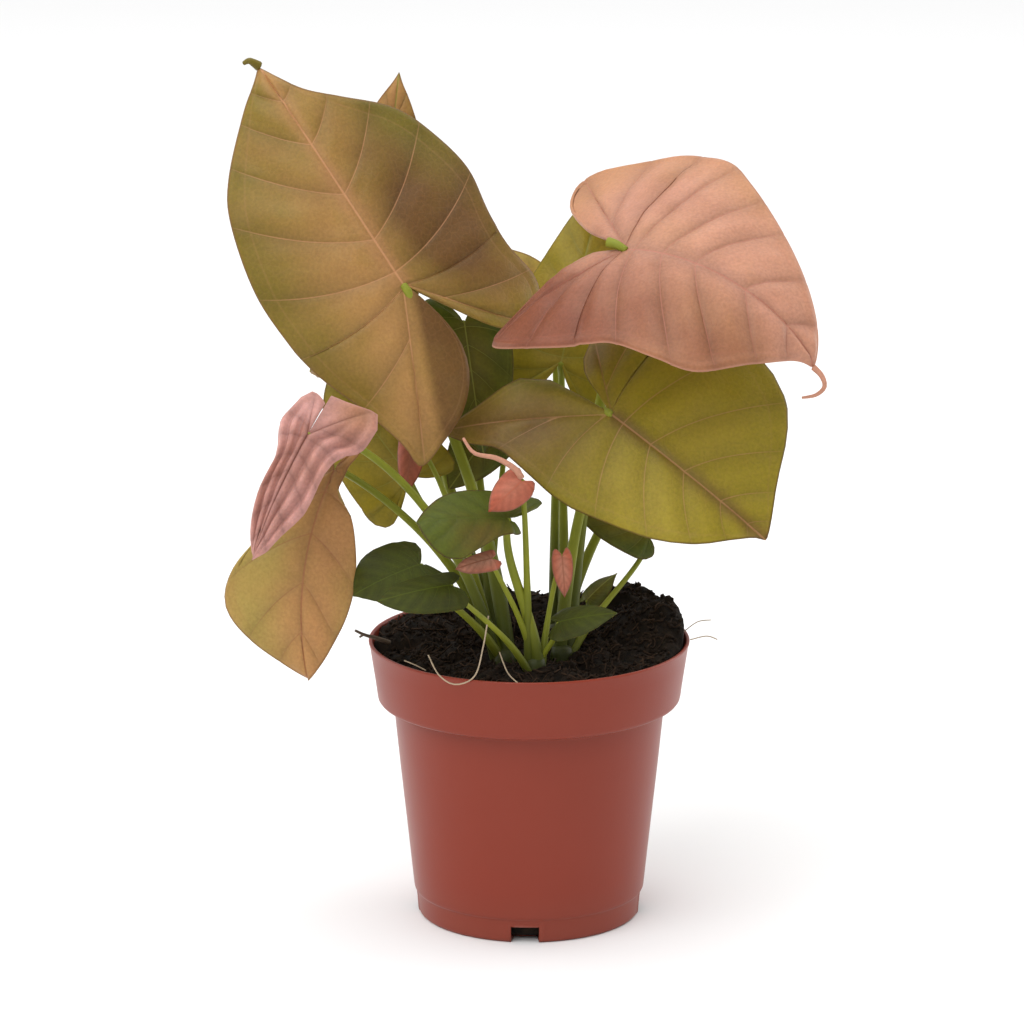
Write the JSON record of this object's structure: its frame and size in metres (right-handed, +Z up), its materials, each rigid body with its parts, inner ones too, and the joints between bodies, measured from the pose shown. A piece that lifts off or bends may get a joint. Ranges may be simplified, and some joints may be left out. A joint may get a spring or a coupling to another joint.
{
  "type": "potted arrowhead plant",
  "caption": "Arrowhead plant with pink and olive arrow-shaped leaves on slim stalks, in dark peat in a tapered plastic nursery pot.",
  "frame": {"origin": "centre of the pot's foot, on the surface that the pot stands on", "axes": "+Z up along the pot's axis, -Y the front, towards which the large upper left leaf faces"},
  "size_m": [0.2149, 0.1586, 0.3213],
  "materials": {
    "pot_plastic": "satin terracotta-coloured plastic",
    "peat": "damp, dark, fibrous",
    "stalk_tissue": "smooth, waxy, slightly translucent",
    "leaf_upper_left_tissue": "tan and olive with pink veins, satin",
    "leaf_upper_right_tissue": "salmon pink with olive patches, satin",
    "leaf_right_tissue": "olive green with a brown lobe, satin",
    "leaf_lower_left_tissue": "tan with an olive margin, satin",
    "leaf_folded_left_tissue": "mauve pink, satin",
    "leaf_back_left_tissue": "green or olive leaf, satin",
    "leaf_centre_back_tissue": "green or olive leaf, satin",
    "leaf_far_back_tissue": "green or olive leaf, satin",
    "leaf_middle_green_tissue": "green or olive leaf, satin",
    "leaf_left_green_tissue": "green or olive leaf, satin",
    "leaf_inner_dark_tissue": "green or olive leaf, satin",
    "leaf_front_low_tissue": "green or olive leaf, satin",
    "leaf_low_left_tissue": "green or olive leaf, satin",
    "leaf_right_dark_tissue": "green or olive leaf, satin",
    "leaf_small_front_tissue": "green or olive leaf, satin",
    "leaf_small_left_tissue": "green or olive leaf, satin",
    "leaf_small_right_tissue": "green or olive leaf, satin",
    "leaf_rear_left_tissue": "green or olive leaf, satin",
    "leaf_rear_right_tissue": "green or olive leaf, satin",
    "young_coral_tissue": "young pink leaf, matte",
    "young_pink_tissue": "young pink leaf, matte",
    "young_rose_tissue": "young pink leaf, matte",
    "dried_bract_tissue": "young pink leaf, matte"
  },
  "bodies": {
    "root": {"pot": "pot_plastic", "soil": "peat", "leaf_upper_left": "leaf_upper_left_tissue", "leaf_upper_right": "leaf_upper_right_tissue", "leaf_right": "leaf_right_tissue", "leaf_lower_left": "leaf_lower_left_tissue", "leaf_folded_left": "leaf_folded_left_tissue", "leaf_back_left": "leaf_back_left_tissue", "leaf_centre_back": "leaf_centre_back_tissue", "leaf_far_back": "leaf_far_back_tissue", "leaf_middle_green": "leaf_middle_green_tissue", "leaf_left_green": "leaf_left_green_tissue", "leaf_inner_dark": "leaf_inner_dark_tissue", "leaf_front_low": "leaf_front_low_tissue", "leaf_low_left": "leaf_low_left_tissue", "leaf_right_dark": "leaf_right_dark_tissue", "leaf_small_front": "leaf_small_front_tissue", "leaf_small_left": "leaf_small_left_tissue", "leaf_small_right": "leaf_small_right_tissue", "leaf_rear_left": "leaf_rear_left_tissue", "leaf_rear_right": "leaf_rear_right_tissue", "young_coral": "young_coral_tissue", "young_pink": "young_pink_tissue", "young_rose": "young_rose_tissue", "dried_bract": "dried_bract_tissue", "shoot_left": "stalk_tissue", "shoot_front": "stalk_tissue", "shoot_right": "stalk_tissue", "shoot_back_left": "stalk_tissue", "shoot_back_right": "stalk_tissue"}
  },
  "joints": []
}
